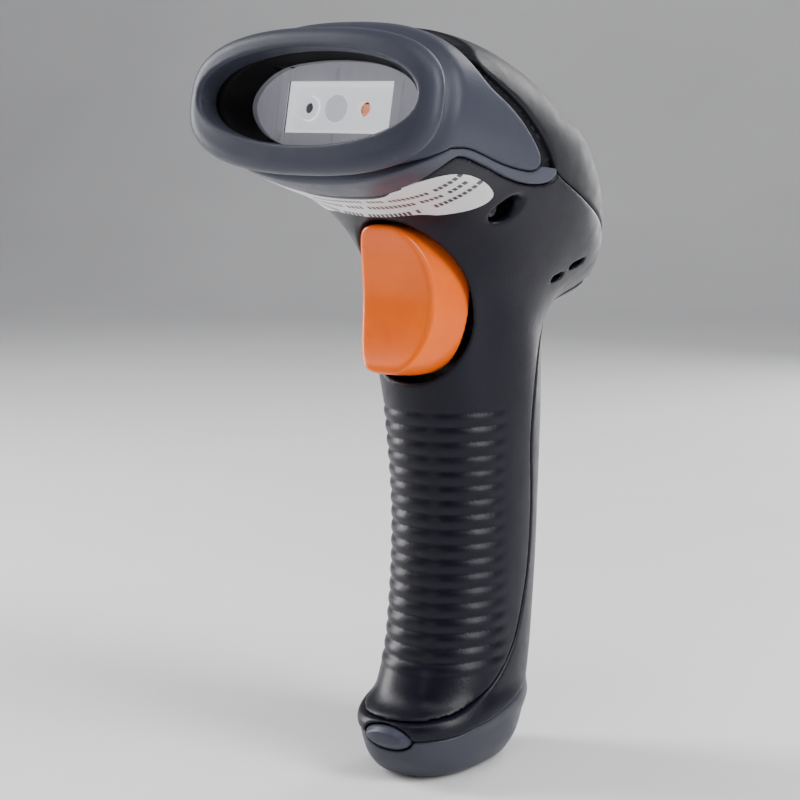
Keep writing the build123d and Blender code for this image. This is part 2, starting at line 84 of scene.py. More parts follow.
# Foot
CAP_STEP_Z, CAP_STEP_Y = 4.4, 19.0      # the rear shell reaches down behind the cap to here
SOLE_T = 4.6
SOCKET_HALF, SOCKET_Y = 5.9, (2.2, 8.8)
SOLE_SCREW_X, SOLE_SCREW_Y, SOLE_WELL_R, SOLE_WELL_DEPTH = 5.0, -7.4, 2.2, 2.5
BUTTON_Z, BUTTON_W, BUTTON_H, BUTTON_ROUND = 10.5, 6.0, 2.75, 2.2
BUTTON_GAP, BUTTON_PROUD, BUTTON_BACK = 0.35, 0.95, -13.2
BUTTON_BEVEL, BUTTON_BEVEL_W = 0.9, 1.4         # slope and width of its bevel
BUTTON_HOLE_BACK = -13.9
BUTTON_TRAVEL = 1.2

# Trigger
TRIGGER_Z = 106.3                       # middle of its pocket
POCKET_W, POCKET_H, POCKET_BACK = 13.1, 17.9, -1.0
PIVOT_Y, PIVOT_Z, PIN_BORE = -7.0, 118.5, 1.55
PRESS_Z, SPRING_Z = 97.0, 105.0
TRIGGER_WALL, TRIGGER_TRAVEL = 2.0, 1.2         # travel is at the spring
LEVER_W, LEVER_TAPER, LEVER_DEPTH = 12.1, 4.3, 15.0     # it narrows towards its face
LEVER_TOP, LEVER_BOTTOM = 123.0, 90.1
LUG_X, LUG_BACK = (6.2, 8.6), -4.1
POST_HALF, POST_BACK, SEAT_HALF, SEAT_BACK = 2.2, -10.9, 2.8, -13.0
SCOOP_R, SCOOP_Y, SCOOP_Z = 21.5, -37.8, 106.8  # finger scoop across the face
LEVER_REAR = [(88, -9.0), (112, -5.6), (126, -4.0)]
LEVER_FRONT = [(88, -19.0), (92, -21.8), (97, -22.8), (112, -22.7), (122, -22.3), (126, -22.0)]

# Springs
SPRING_WIRE, SPRING_SIDES, SPRING_STEPS = 0.25, 8, 24   # wire radius, facets, steps a turn
SPRING_FLAT = 0.08                      # part of the coil that lies flat at each end

# ---------------------------------------------------------------- camera, set before the pieces
TARGET = Vector((0.0, -0.015, 0.085))
DISTANCE = 0.44
AZIMUTH, ELEVATION = math.radians(36), math.radians(8.7)
camera = bpy.data.objects.new("camera", bpy.data.cameras.new("camera"))
bpy.context.scene.collection.objects.link(camera)
camera.data.sensor_width = 36
camera.data.lens = 91.4
camera.data.clip_start = 0.01
away = Vector((math.sin(AZIMUTH) * math.cos(ELEVATION),
               -math.cos(AZIMUTH) * math.cos(ELEVATION), math.sin(ELEVATION)))
camera.location = TARGET + DISTANCE * away
camera.rotation_euler = (-away).to_track_quat("-Z", "Y").to_euler()
bpy.context.scene.camera = camera


# ---------------------------------------------------------------- signed-distance toolbox
def smooth_curve(x, knots, values):
    """Shape-preserving cubic through the knots."""
    knots, values = np.array(knots, float), np.array(values, float)
    step = np.diff(knots)
    slope = np.diff(values) / step
    tangent = np.zeros_like(values)
    tangent[0], tangent[-1] = slope[0], slope[-1]
    for i in range(1, len(knots) - 1):
        if slope[i - 1] * slope[i] > 0:
            a, b = 2 * step[i] + step[i - 1], step[i] + 2 * step[i - 1]
            tangent[i] = (a + b) / (a / slope[i - 1] + b / slope[i])
    x = np.clip(x, knots[0], knots[-1])
    i = np.clip(np.searchsorted(knots, x, side="right") - 1, 0, len(knots) - 2)
    u = (x - knots[i]) / step[i]
    low = values[i] * (2 * u**3 - 3 * u**2 + 1) + step[i] * tangent[i] * (u**3 - 2 * u**2 + u)
    high = values[i + 1] * (3 * u**2 - 2 * u**3) + step[i] * tangent[i + 1] * (u**3 - u**2)
    return low + high


def join(a, b, blend):
    """Union with a smooth blend."""
    h = np.clip(0.5 + 0.5 * (b - a) / blend, 0, 1)
    return b * (1 - h) + a * h - blend * h * (1 - h)


def cut(a, b, edge):
    """Intersection with an edge rounded by about that much."""
    return -join(-a, -b, edge)


def oval(x, y, half_x, half_y, n):
    """Distance to a superellipse, true near its edge."""
    ax, ay = np.abs(x) / half_x, np.abs(y) / half_y
    f = (ax**n + ay**n + 1e-9) ** (1 / n)
    g = f ** (1 - n)
    slope = np.sqrt((g * ax ** (n - 1) / half_x) ** 2 + (g * ay ** (n - 1) / half_y) ** 2)
    return (f - 1) / (slope + 1e-6)


def box(x, y, z, low, high, r=0.3):
    """Distance to a box with rounded edges."""
    q = [np.abs(v - (a + b) / 2) - (b - a) / 2 + r for v, a, b in zip((x, y, z), low, high)]
    outside = np.sqrt(sum(np.maximum(c, 0) ** 2 for c in q))
    return outside + np.minimum(np.maximum(np.maximum(q[0], q[1]), q[2]), 0) - r


def rod(u, v, r):
    """Distance to a long rod from the two coordinates across it."""
    return np.sqrt(u**2 + v**2) - r


def rounded(points, per_span=8):
    """A smooth open curve through a few points (Catmull-Rom)."""
    p = np.array(points, float)
    p = np.vstack([2 * p[0] - p[1], p, 2 * p[-1] - p[-2]])
    out = []
    for i in range(1, len(p) - 2):
        for u in np.arange(per_span) / per_span:
            a, b, c, d = p[i - 1], p[i], p[i + 1], p[i + 2]
            out.append(0.5 * (2 * b + (c - a) * u + (2 * a - 5 * b + 4 * c - d) * u**2
                              + (3 * b - a - 3 * c + d) * u**3))
    out.append(p[-2])
    return [tuple(q) for q in out]


def region(a, b, outline):
    """Signed distance to a closed outline in the plane (a, b), negative inside."""
    best = np.full(a.shape, 1e9)
    inside = np.zeros(a.shape, bool)
    for (x0, y0), (x1, y1) in zip(outline, outline[1:] + outline[:1]):
        dx, dy = x1 - x0, y1 - y0
        u = np.clip(((a - x0) * dx + (b - y0) * dy) / (dx * dx + dy * dy + 1e-12), 0, 1)
        best = np.minimum(best, (a - x0 - u * dx) ** 2 + (b - y0 - u * dy) ** 2)
        crossing = (y0 > b) != (y1 > b)
        inside ^= crossing & (a < x0 + (b - y0) * dx / (dy if dy else 1e-9))
    return np.sqrt(best) * np.where(inside, -1, 1)


# ---------------------------------------------------------------- sections of the body
# Grip sections: height, front, rear, half-width, roundness
GRIP = [(12, -20.0, 23.5, 14.6, 2.35), (20, -14.0, 25.5, 14.4, 2.3), (30, -10.8, 27.0, 14.3, 2.25),
        (55, -8.8, 29.2, 14.4, 2.2), (80, -11.0, 29.8, 15.2, 2.2), (95, -14.5, 29.6, 15.8, 2.2),
        (110, -16.0, 29.5, 17.0, 2.2), (130, -18.0, 31.0, 19.0, 2.2)]
# Foot sections: height, front, rear, half-width
FOOT = [(0, -14.0, 17.0, 9.8), (2, -16.8, 19.4, 11.8), (6, -19.4, 22.4, 13.5),
        (12, -20.6, 24.0, 14.4), (20, -18.0, 25.0, 14.2)]
FOOT_ROUND = 2.5
GRIP_BOTTOM, GRIP_TOP, FOOT_TOP = 13, 135, 15
# Head sections: depth, centre height, half-height, half-width, roundness
HEAD = [(-2, -0.8, 13.6, 29.2, 2.4), (3, -0.4, 15.0, 30.4, 2.4), (10, 0.4, 17.2, 31.2, 2.4),
        (25, 0.7, 18.9, 31.0, 2.4), (40, -0.5, 19.6, 30.2, 2.35), (60, -4.0, 19.6, 27.8, 2.25),
        (75, -8.2, 18.4, 24.6, 2.2), (87, -12.8, 15.8, 19.8, 2.15), (95, -16.0, 12.4, 14.6, 2.1),
        (99.5, -17.6, 8.6, 10.0, 2.1), (102, -18.4, 3.5, 4.5, 2.05)]
HEAD_START, HEAD_END = -1.0, 101.6
NECK_BLEND, FOOT_BLEND = 14, 4          # how softly the grip runs into the head and the foot


def column(table, i, x):
    """Column i of a table of sections, as a smooth function of its first column."""
    return smooth_curve(x, [row[0] for row in table], [row[i] for row in table])


class Space:
    """One half of a box of space as a grid, in mm, with the body's distance on it.

    X, Y and Z are the frame's axes. S is the depth behind the nose plane and T the height in it.
    """

    def __init__(self, half_x, y, z, voxel):
        self.voxel = voxel * 1.0
        self.xs = np.arange(0, half_x, self.voxel)
        self.ys = np.arange(y[0], y[1], self.voxel)
        self.zs = np.arange(z[0], z[1], self.voxel)
        self.X, self.Y, self.Z = self.xs[:, None, None], self.ys[None, :, None], self.zs[None, None, :]
        self.Y2, self.Z2 = np.broadcast_arrays(self.ys[:, None], self.zs[None, :])
        c, s = math.cos(TILT), math.sin(TILT)
        self.S2 = (self.Y2 - NOSE_Y) * c - (self.Z2 - NOSE_Z) * s
        self.T2 = (self.Y2 - NOSE_Y) * s + (self.Z2 - NOSE_Z) * c
        self.S, self.T = self.S2[None], self.T2[None]
        grip, foot = self.grip(), self.foot()
        upper = join(grip, self.head(), NECK_BLEND)
        self.body = np.maximum(join(upper, foot, FOOT_BLEND), -self.Z)

    def grip(self):
        front, rear, w, n = (column(GRIP, i, self.zs)[None, None, :] for i in (1, 2, 3, 4))
        f = oval(self.X, self.Y - (front + rear) / 2, w, (rear - front) / 2, n)
        return cut(cut(f, self.Z - GRIP_TOP, edge=4), GRIP_BOTTOM - self.Z, edge=3)

    def foot(self):
        front, rear, w = (column(FOOT, i, self.zs)[None, None, :] for i in (1, 2, 3))
        f = oval(self.X, self.Y - (front + rear) / 2, w, (rear - front) / 2, FOOT_ROUND)
        return cut(cut(f, -self.Z, edge=1.5), self.Z - FOOT_TOP, edge=3)

    def head(self):
        centre, h, w, n = (column(HEAD, i, self.S2)[None] for i in (1, 2, 3, 4))
        f = oval(self.X, self.T - centre, w, h, n)
        return cut(cut(f, HEAD_START - self.S, edge=2), self.S - HEAD_END, edge=3)

    def side(self, outline):
        """A side-view outline in Y and Z, as a distance across the whole width."""
        return region(self.Y2, self.Z2, outline)[None]

    def head_side(self, outline):
        """The same for an outline in depth and height in the head."""
        return region(self.S2, self.T2, outline)[None]


# ---------------------------------------------------------------- outlines, seen from the side
PETAL_TOP = [(12.2, 24), (12.6, 15.6), (14.6, 10.6), (18.9, 6.7), (26, 4.3), (32.5, 1.8),
             (37.9, -0.9), (41.2, -3.1), (42.4, -5.2)]
PETAL_BOTTOM = [(41.6, -6.6), (38.6, -7.4), (29.5, -7.7), (16.5, -7.0), (10.6, -7.9)]
LIP_FRONT = [(8.6, -9.6), (6.4, -12.4), (6.2, -15.6), (8.6, -19.0), (10.0, -26)]
CHANNEL_TOP = [(21.2, 24), (20.6, 15.6), (17.7, 11.8), (18.8, 9.3), (24.6, 7.0), (32.3, 4.5),
               (39.2, 1.4), (44.3, -1.4), (46.9, -3.4), (48.7, -5.2)]
TRIM_BOTTOM = [(49.6, -6.0), (48, -7.8), (44.5, -9.1), (39.3, -9.8), (32.8, -9.7), (25.5, -9.1),
               (17.5, -8.6), (14.2, -8.9), (12.7, -10.2), (12.4, -12.9), (13.6, -15.7),
               (15.9, -17.6), (19, -26)]
PARTING = [(48.7, -5.2), (53.6, -6.5), (60.4, -7.7), (69.2, -9.2), (79, -10.9), (94, -14.2),
           (120, -20)]
GRIP_SEAM = [(-30, 14.2), (-19.8, 14.3), (-14.7, 15.0), (-10, 15.8), (-3.6, 17.8), (1.6, 20.3),
             (6.3, 24.3), (10.1, 29.3), (13.2, 36.8), (15.5, 45.6), (16.5, 59.4), (15.2, 73.5),
             (16.6, 86), (21.5, 97), (40, 108)]
CAP_TOP = [(-30, 10.0), (-20, 10.3), (-11, 10.9), (-5.6, 11.9), (0, 12.7), (6, 14.1),
           (11.6, 15.6), (20, 18.4), (40, 27)]
LABEL = [(19.2, -24), (18.6, -18.6), (15.4, -16.6), (12.9, -14.6), (15.6, -12.4), (20.8, -11.3),
         (27.5, -11.6), (32.6, -12.9), (34.0, -14.6), (32.9, -16.6), (30.0, -18.4), (26.9, -19.4),
         (26.4, -24)]

PETAL = (rounded(PETAL_TOP) + rounded(PETAL_BOTTOM) + rounded(LIP_FRONT)
         + [(-30, -26), (-30, 24)])
TRIM = (rounded(TRIM_BOTTOM) + rounded(LIP_FRONT)[::-1] + rounded(PETAL_BOTTOM)[::-1]
        + [(43.2, -5.4), (48.9, -4.8)])
COVER = rounded(CHANNEL_TOP) + rounded(PARTING)[1:] + [(120, 60), (21.2, 60)]
NOSE_SKIN = rounded(CHANNEL_TOP) + rounded(TRIM_BOTTOM) + [(-40, -26), (-40, 60)]
ABOVE = [(-40, -8.5), (44, -6.2)] + rounded(PARTING) + [(120, 60), (-40, 60)]
STRAP = rounded(GRIP_SEAM) + [(80, 108), (80, -20), (-60, -20), (-60, 14.2)]
CAP = rounded(CAP_TOP) + [(40, -20), (-60, -20), (-60, 10)]


# ---------------------------------------------------------------- nose: bumper, trim band, mouth
def ring_field(g):
    """Soft ring round the mouth: a rounded six-sided outline whose face falls away outwards."""
    outer = oval(g.X, g.T + RING_DROP, RING_W, RING_H, 2.7)
    depth = np.abs(g.S - RING_MIDDLE - RING_LEAN * (outer + RING_BAND))
    return cut(outer, depth - RING_HALF, edge=3.4)


def bumper_field(g):
    """Ring and petals in one soft skin, with a valley between them."""
    valley = WAIST_DEPTH * np.exp(-(((g.S - WAIST_S) / WAIST_WIDTH) ** 2))
    skin = cut(g.body + valley, g.head_side(PETAL) + SEAM, edge=0.9)
    skin = cut(skin, -(g.body + WALL + valley), edge=0.3)
    ring = join(skin, ring_field(g), blend=1.2)
    mouth = oval(g.X, g.T, RIM_W - 0.25 * g.S, RIM_H - 0.02 * g.S, 2.08)
    return cut(ring, -np.maximum(mouth, g.S - MOUTH_END), edge=0.8)


def trim_field(g):
    """Thin lip under the ring and petals."""
    skin = cut(g.body - TRIM_PROUD, g.head_side(TRIM) + SEAM, edge=0.5)
    return cut(skin, -(g.body + WALL), edge=0.3)


def frame_field(g):
    """Black funnel from the ring back to the pane; its near-black colour paints in the deep shade inside
    the funnel.
    """
    funnel = oval(g.X, g.T, FUNNEL_W - 0.8 * g.S, FUNNEL_H - 0.08 * g.S, 2.25)
    ends = np.maximum(FRAME_FRONT - g.S, g.S - FRAME_BACK)
    outer = np.maximum(g.body + WALL + FRAME_GAP, ends)
    pane = oval(g.X, g.T, PANE_W, PANE_H, 2.2)
    tray = box(g.X, g.T, g.S, (-TRAY_W, -TRAY_H, 0), (TRAY_W, TRAY_H, 20))
    f = cut(outer, -np.maximum(funnel, g.S - FUNNEL_END), edge=0.3)
    f = np.maximum(f, -np.maximum(pane, np.abs(g.S - PANE_S) - PANE_HALF))
    return np.maximum(f, -tray)


# ---------------------------------------------------------------- shells
def cover_field(g):
    """Top cover, with the sunk flange that shows as a dark channel beside the petals."""
    above, nose = g.head_side(ABOVE), g.head_side(NOSE_SKIN)
    skin = cut(g.body, g.head_side(COVER) + SEAM, edge=0.8)
    flange = np.maximum(g.body + CHANNEL_DEPTH, np.maximum(above, nose) + SEAM)
    flange = np.maximum(flange, COVER_FRONT - g.S)
    return np.maximum(np.minimum(skin, flange), -(g.body + CHANNEL_DEPTH + CHANNEL_WALL))


def rib_field(g):
    """Rounded ridges across the front of the grip, dying away on its sides."""
    wave = np.abs(np.cos(math.pi * (g.Z - RIB_FIRST) / RIB_PITCH)) ** RIB_SHARP
    half = RIB_PITCH / 2
    ends = np.clip(g.Z - RIB_FIRST + half, 0, 1) * np.clip(RIB_LAST + half - g.Z, 0, 1)
    lean = np.clip((g.Z - 30) / 50, 0, 1)
    side = np.clip((7.6 - 2.0 * lean - g.Y) / 6.0, 0, 1)
    side = side * side * (3 - 2 * side)
    return RIB_HEIGHT * (wave - RIB_SUNK) * ends * side


def vent_field(g):
    """Two slots on each side under the rear of the head, cut straight through the wall."""
    f = np.full(g.body.shape, 9.0)
    for (y0, z0), (y1, z1) in VENTS:
        dy, dz = y1 - y0, z1 - z0
        u = np.clip(((g.Y2 - y0) * dy + (g.Z2 - z0) * dz) / (dy * dy + dz * dz), 0, 1)
        slot = np.sqrt((g.Y2 - y0 - u * dy) ** 2 + (g.Z2 - z0 - u * dz) ** 2) - VENT_R
        f = np.minimum(f, np.maximum(slot[None], VENT_X - g.X))
    return f


def pocket_field(g):
    """The opening that the trigger sits in."""
    mouth = oval(g.X, g.Z - TRIGGER_Z, POCKET_W, POCKET_H, 2.45)
    return np.maximum(mouth, g.Y - POCKET_BACK)


def front_field(g):
    """Chin, neck and ribbed front of the grip in one shell."""
    strap, cap, above = g.side(STRAP), g.side(CAP), g.head_side(ABOVE)
    f = cut(g.body - rib_field(g), -(above - SEAM), edge=0.6)
    f = cut(f, -np.maximum(g.head_side(NOSE_SKIN) - SEAM, -(g.body + CHANNEL_DEPTH)), edge=0.5)
    f = cut(f, -(strap - SEAM), edge=0.6)
    f = cut(f, -(cap - SEAM), edge=0.6)
    f = np.maximum(f, -(g.body + WALL + FRONT_EXTRA_WALL))
    f = cut(f, -pocket_field(g), edge=1.1)
    well = rod(g.Y - NECK_SCREW_Y, g.Z - NECK_SCREW_Z, NECK_WELL_R)
    f = cut(f, -np.maximum(well, NECK_WELL_X - g.X), edge=1.3)
    f = cut(f, -vent_field(g), edge=0.4)
    return np.maximum(f, FRONT_SHELL_FRONT - g.S)


def strap_field(g):
    """Rear shell of the grip, wrapping round the toe."""
    f = cut(g.body - STRAP_PROUD, g.side(STRAP) + SEAM, edge=0.7)
    f = cut(f, -(g.side(CAP) - SEAM), edge=0.6)
    f = cut(f, -button_hole(g), edge=0.4)
    return np.maximum(f, -(g.body + WALL))


def cap_field(g):
    """Foot cap: flat sole with the jack's opening and two screw wells."""
    step = np.maximum(g.Z - CAP_STEP_Z, CAP_STEP_Y - g.Y)
    f = cut(g.body + CAP_SUNK, g.side(CAP) + SEAM, edge=0.7)
    f = cut(f, -step, edge=0.5)
    f = cut(f, -button_hole(g), edge=0.4)
    f = np.maximum(f, -np.maximum(g.body + WALL, SOLE_T - g.Z))
    socket = box(g.X, g.Y, g.Z, (-SOCKET_HALF, SOCKET_Y[0], -9), (SOCKET_HALF, SOCKET_Y[1], 9))
    f = cut(f, -socket, edge=0.5)
    well = rod(g.X - SOLE_SCREW_X, g.Y - SOLE_SCREW_Y, SOLE_WELL_R)
    return cut(f, -np.maximum(well, g.Z - SOLE_WELL_DEPTH), edge=0.4)


def button_oval(g, grow=0.0):
    return oval(g.X, g.Z - BUTTON_Z, BUTTON_W + grow, BUTTON_H + grow, BUTTON_ROUND)


def button_hole(g):
    return np.maximum(button_oval(g, BUTTON_GAP), g.Y - BUTTON_HOLE_BACK)


def button_field(g):
    """Oval cap with a broad bevel, on a stem and collar inside."""
    edge = button_oval(g)
    face = g.body - BUTTON_PROUD
    bevel = (face + BUTTON_BEVEL * (edge + BUTTON_BEVEL_W)) / math.hypot(1, BUTTON_BEVEL)
    f = np.maximum(cut(cut(face, edge, edge=0.4), bevel, edge=0.3), g.Y - BUTTON_BACK)
    collar = box(g.X, g.Y, g.Z, (-7, -14.2, BUTTON_Z - 3.3), (7, BUTTON_BACK, BUTTON_Z + 3.3))
    stem = box(g.X, g.Y, g.Z, (-1.7, -14, BUTTON_Z - 1.2), (1.7, -0.6, BUTTON_Z + 1.2))
    return np.minimum(f, np.minimum(collar, stem))


def label_field(g):
    """Film wrapped round the chin."""
    film = np.maximum(g.body - LABEL_PROUD, -(g.body + LABEL_SUNK))
    return cut(film, g.head_side(rounded(LABEL)), edge=0.25)


# ---------------------------------------------------------------- trigger
def trigger_field(g):
    """Finger lever: rounded sides and a finger scoop whose edge bows outwards."""
    out = np.clip((PIVOT_Y - g.Y) / LEVER_DEPTH, 0, 1)
    half_w, n = LEVER_W - LEVER_TAPER * out, 2.45 + 0.9 * out
    top, bottom = LEVER_TOP + 0.3 * out, LEVER_BOTTOM + 1.4 * out**2
    sides = oval(g.X, g.Z - (top + bottom) / 2, half_w, (top - bottom) / 2, n)
    front = column(LEVER_FRONT, 1, g.zs)[None, None, :] - g.Y
    scoop = SCOOP_R - np.sqrt((g.Y - SCOOP_Y) ** 2 + (g.Z - SCOOP_Z) ** 2)
    f = cut(cut(sides, front, edge=1.2), scoop, edge=1.3)
    shell = np.maximum(f, -(f + TRIGGER_WALL))
    rear = column(LEVER_REAR, 1, g.zs)[None, None, :]
    shell = np.maximum(shell, g.Y - rear)
    lug = box(g.X, g.Y, g.Z, (LUG_X[0], -16, PIVOT_Z - 2.9), (LUG_X[1], LUG_BACK, PIVOT_Z + 2.4))
    lug = np.maximum(lug, f)
    post = box(g.X, g.Y, g.Z, (-POST_HALF, -16.5, PRESS_Z - POST_HALF),
               (POST_HALF, POST_BACK, PRESS_Z + POST_HALF))
    seat = box(g.X, g.Y, g.Z, (-SEAT_HALF, -15.4, SPRING_Z - SEAT_HALF),
               (SEAT_HALF, SEAT_BACK, SPRING_Z + SEAT_HALF))
    f = np.minimum(np.minimum(shell, lug), np.minimum(post, seat))
    return np.maximum(f, -rod(g.Y - PIVOT_Y, g.Z - PIVOT_Z, PIN_BORE))


# ---------------------------------------------------------------- field to mesh
FAR = 2.0                               # distances are held to this, in mm
MARGIN = 3                              # voxels kept round a piece


def at_points(volume, p):
    """Values of a volume at fractional indices p, by linear interpolation."""
    base = np.clip(np.floor(p).astype(int), 0, np.array(volume.shape) - 2)
    w = p - base
    out = 0
    for corner in np.ndindex(2, 2, 2):
        i = base + corner
        weight = np.prod(np.where(corner, w, 1 - w), axis=1)
        out = out + weight * volume[i[:, 0], i[:, 1], i[:, 2]]
    return out


def refined(volume, points, rounds=2, longest=0.4):
    """Moves points onto the zero surface, by no more than the longest step in voxels each round."""
    slopes = np.gradient(volume)
    for _ in range(rounds):
        normal = np.stack([at_points(s, points) for s in slopes], axis=1)
        size = np.linalg.norm(normal, axis=1, keepdims=True) + 1e-6
        move = at_points(volume, points)[:, None] * normal / size**2
        points = points - np.clip(move, -longest, longest)
    return points


def quad_mesh(name, places, quads):
    mesh = bpy.data.meshes.new(name)
    mesh.vertices.add(len(places))
    mesh.vertices.foreach_set("co", places.astype(np.float32).ravel())
    mesh.loops.add(quads.size)
    mesh.loops.foreach_set("vertex_index", quads[:, ::-1].astype(np.int32).ravel())
    mesh.polygons.add(len(quads))
    mesh.polygons.foreach_set("loop_start", np.arange(0, quads.size, 4, dtype=np.int32))
    mesh.update(calc_edges=True)
    mesh.validate()
    return mesh


def add_piece(name, mesh, slot, body_name, node):
    """A piece that rides on a CAD body and stands for a CAD node."""
    mesh.shade_smooth()
    mesh.materials.append(MATERIALS[slot])
    piece = bpy.data.objects.new(name, mesh)
    bpy.context.scene.collection.objects.link(piece)
    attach(piece, body_name)
    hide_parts(node)
    return piece


def add_shell(name, field, space, slot, body_name, node):
    """A smooth mesh of the zero surface of a half field and its mirror image."""
    g = Space(*space)
    half = field(g)
    full = np.concatenate([half[:0:-1], half], axis=0)
    near = np.argwhere(full < g.voxel)
    low, high = np.maximum(near.min(0) - MARGIN, 0), near.max(0) + MARGIN + 1
    part = full[low[0]:high[0], low[1]:high[1], low[2]:high[2]]
    part = np.pad(np.clip(part, -FAR, FAR), 1, constant_values=FAR)
    grid = openvdb.FloatGrid(FAR)
    grid.copyFromArray(np.ascontiguousarray(part, dtype=np.float32))
    points, quads = grid.convertToQuads(0.0)
    origin = np.array([-(len(g.xs) - 1) * g.voxel, g.ys[0], g.zs[0]])
    places = ((refined(part, points) + low - 1) * g.voxel + origin) * MM
    add_piece(name, quad_mesh(name, places, quads), slot, body_name, node)


# ---------------------------------------------------------------- materials
SHEEN = 0.22                            # how strongly moulded plastic mirrors its surroundings


class Nodes:
    """Short way to wire one material's node tree."""

    def __init__(self, name):
        self.material = bpy.data.materials.new(name)
        self.material.use_nodes = True
        self.tree = self.material.node_tree
        self.shader = self.tree.nodes["Principled BSDF"]
        self.place = self.add("ShaderNodeTexCoord").outputs["Object"]

    def add(self, kind, **settings):
        node = self.tree.nodes.new(kind)
        for key, value in settings.items():
            setattr(node, key, value)
        return node

    def link(self, source, target):
        self.tree.links.new(source, target)

    def noise(self, scale, detail=3.0, rough=0.55):
        node = self.add("ShaderNodeTexNoise")
        node.inputs["Scale"].default_value = scale
        node.inputs["Detail"].default_value = detail
        node.inputs["Roughness"].default_value = rough
        self.link(self.place, node.inputs["Vector"])
        return node.outputs["Fac"]

    def ranged(self, value, low, high, start=0.3, end=0.7):
        node = self.add("ShaderNodeMapRange")
        for key, number in (("From Min", start), ("From Max", end), ("To Min", low), ("To Max", high)):
            node.inputs[key].default_value = number
        self.link(value, node.inputs["Value"])
        return node.outputs["Result"]

    def mix(self, factor, a, b):
        """Mixes two colours, each a tuple or a socket."""
        node = self.add("ShaderNodeMix", data_type="RGBA")
        self.link(factor, node.inputs["Factor"])
        for key, value in (("A", a), ("B", b)):
            if isinstance(value, tuple):
                node.inputs[key].default_value = (*value, 1)
            else:
                self.link(value, node.inputs[key])
        return node.outputs["Result"]

    def bump(self, heights):
        """Chains bumps given as (socket, strength, distance in metres)."""
        last = None
        for height, strength, distance in heights:
            node = self.add("ShaderNodeBump")
            node.inputs["Strength"].default_value = strength
            node.inputs["Distance"].default_value = distance
            self.link(height, node.inputs["Height"])
            if last is not None:
                self.link(last, node.inputs["Normal"])
            last = node.outputs["Normal"]
        self.link(last, self.shader.inputs["Normal"])

    def set(self, **values):
        for key, value in values.items():
            self.shader.inputs[key.replace("_", " ")].default_value = value


def moulded(name, color, roughness=0.42, grain=0.35, grain_scale=2600, coat=0.0, wear=0.25, painted_glow=0.0):
    """Moulded plastic or elastomer: spark-eroded grain, uneven sheen and rubbed edges, with an optional
    painted glow: emission that brightens a part that is no lamp.
    """
    n = Nodes(name)
    patch = n.noise(60, 4)
    tint = tuple(min(1.0, 1.35 * c + 0.012) for c in color)
    shade = tuple(0.86 * c for c in color)
    base = n.mix(n.ranged(patch, 0, 1), shade, tuple(color))
    edge = n.ranged(n.add("ShaderNodeNewGeometry").outputs["Pointiness"], 0, wear, 0.51, 0.58)
    n.link(n.mix(edge, base, tint), n.shader.inputs["Base Color"])
    fine = n.noise(grain_scale, 2, 0.6)
    n.link(n.ranged(n.noise(220, 5), roughness - 0.05, roughness + 0.06), n.shader.inputs["Roughness"])
    n.bump([(fine, grain, 0.00012), (n.noise(420, 3), 0.10, 0.00008)])
    n.set(Specular_IOR_Level=SHEEN)
    if coat:
        n.set(Coat_Weight=coat, Coat_Roughness=0.12)
    # painted light: the emission makes the part glow though it is no lamp
    if painted_glow:
        n.set(Emission_Color=(*color, 1), Emission_Strength=painted_glow)
    return n.material


def metal(name, color, roughness=0.3, brush=(900, 60, 900)):
    """Brushed or drawn metal with fine streaks."""
    n = Nodes(name)
    stretch = n.add("ShaderNodeMapping")
    stretch.inputs["Scale"].default_value = brush
    n.link(n.place, stretch.inputs["Vector"])
    streak = n.add("ShaderNodeTexNoise")
    streak.inputs["Scale"].default_value = 6
    n.link(stretch.outputs["Vector"], streak.inputs["Vector"])
    dark = tuple(0.7 * c for c in color)
    n.link(n.mix(n.ranged(n.noise(300), 0, 1), dark, tuple(color)), n.shader.inputs["Base Color"])
    n.link(n.ranged(streak.outputs["Fac"], roughness - 0.08, roughness + 0.1), n.shader.inputs["Roughness"])
    n.bump([(streak.outputs["Fac"], 0.15, 0.00005)])
    n.set(Metallic=1.0)
    return n.material


def trigger_material():
    """Glossy through-dyed plastic with faint flow marks."""
    n = Nodes("trigger_orange")
    color = n.mix(n.ranged(n.noise(70, 3), 0, 1), (0.76, 0.100, 0.0), (0.86, 0.140, 0.0))
    n.link(color, n.shader.inputs["Base Color"])
    n.link(n.ranged(n.noise(350, 4), 0.27, 0.34), n.shader.inputs["Roughness"])
    n.set(Coat_Weight=0.15, Coat_Roughness=0.1, Specular_IOR_Level=0.2)
    n.bump([(n.noise(900, 2), 0.04, 0.00006), (n.noise(120, 2), 0.05, 0.0002)])
    return n.material


def dashes(n, axis_along, axis_across, first, pitch, rows, length=0.0011):
    """Rows of short printed bars, as a mask: 1 on a bar. Axes are sockets in metres."""
    def math_node(kind, a, b=None):
        node = n.add("ShaderNodeMath", operation=kind)
        for i, value in enumerate((a, b)):
            if value is None:
                continue
            if isinstance(value, (int, float)):
                node.inputs[i].default_value = value
            else:
                n.link(value, node.inputs[i])
        return node.outputs[0]

    row = math_node("DIVIDE", math_node("SUBTRACT", axis_across, first), pitch)
    inside = math_node("MULTIPLY", math_node("GREATER_THAN", row, 0), math_node("LESS_THAN", row, rows))
    stripe = math_node("LESS_THAN", math_node("FRACT", row), 0.40)
    cell = math_node("DIVIDE", axis_along, length)
    bar = math_node("LESS_THAN", math_node("FRACT", cell), 0.72)
    key = n.add("ShaderNodeCombineXYZ")
    n.link(math_node("FLOOR", cell), key.inputs[0])
    n.link(math_node("FLOOR", row), key.inputs[1])
    chance = n.add("ShaderNodeTexWhiteNoise", noise_dimensions="2D")
    n.link(key.outputs[0], chance.inputs["Vector"])
    kept = math_node("GREATER_THAN", chance.outputs["Value"], 0.22)
    return math_node("MULTIPLY", math_node("MULTIPLY", stripe, bar), math_node("MULTIPLY", kept, inside))


